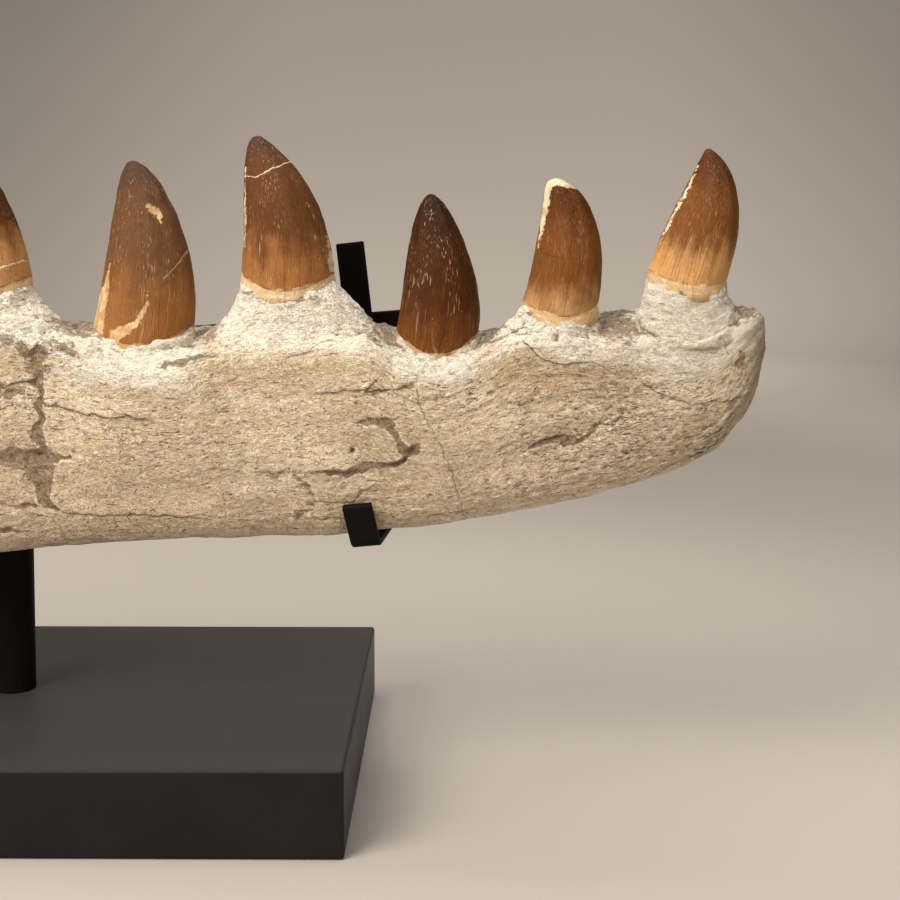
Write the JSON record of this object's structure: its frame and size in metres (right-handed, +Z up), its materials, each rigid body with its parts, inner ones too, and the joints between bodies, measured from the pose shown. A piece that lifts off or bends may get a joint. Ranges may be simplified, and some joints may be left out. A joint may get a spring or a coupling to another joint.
{
  "type": "fossil jaw on a display stand",
  "caption": "Fossil marine reptile jaw branch with curved brown enamel crowns on bone pedestals, resting in the hooks of a black metal display stand.",
  "frame": {"origin": "middle of the base block's underside, on the surface that the object stands on", "axes": "+X towards the jaw's front tip, +Y towards the inner side of the jaw where the post stands, +Z up"},
  "size_m": [0.5103, 0.16, 0.2158],
  "materials": {
    "bone": "matt cream and tan fossil bone with grey-brown rock in its cracks",
    "enamel": "glossy striated brown enamel, near black at the tips and tan at the base",
    "stand": "black powder coat with a fine grain"
  },
  "bodies": {
    "root": {"jaw_bone": "bone", "tooth_01": "enamel", "tooth_02": "enamel", "tooth_03": "enamel", "tooth_04": "enamel", "tooth_05": "enamel", "tooth_06": "enamel", "tooth_07": "enamel", "tooth_08": "enamel", "tooth_09": "enamel", "tooth_10": "enamel", "base_block": "stand", "post": "stand", "back_bar": "stand", "strap_right": "stand", "strap_left": "stand"}
  },
  "joints": []
}
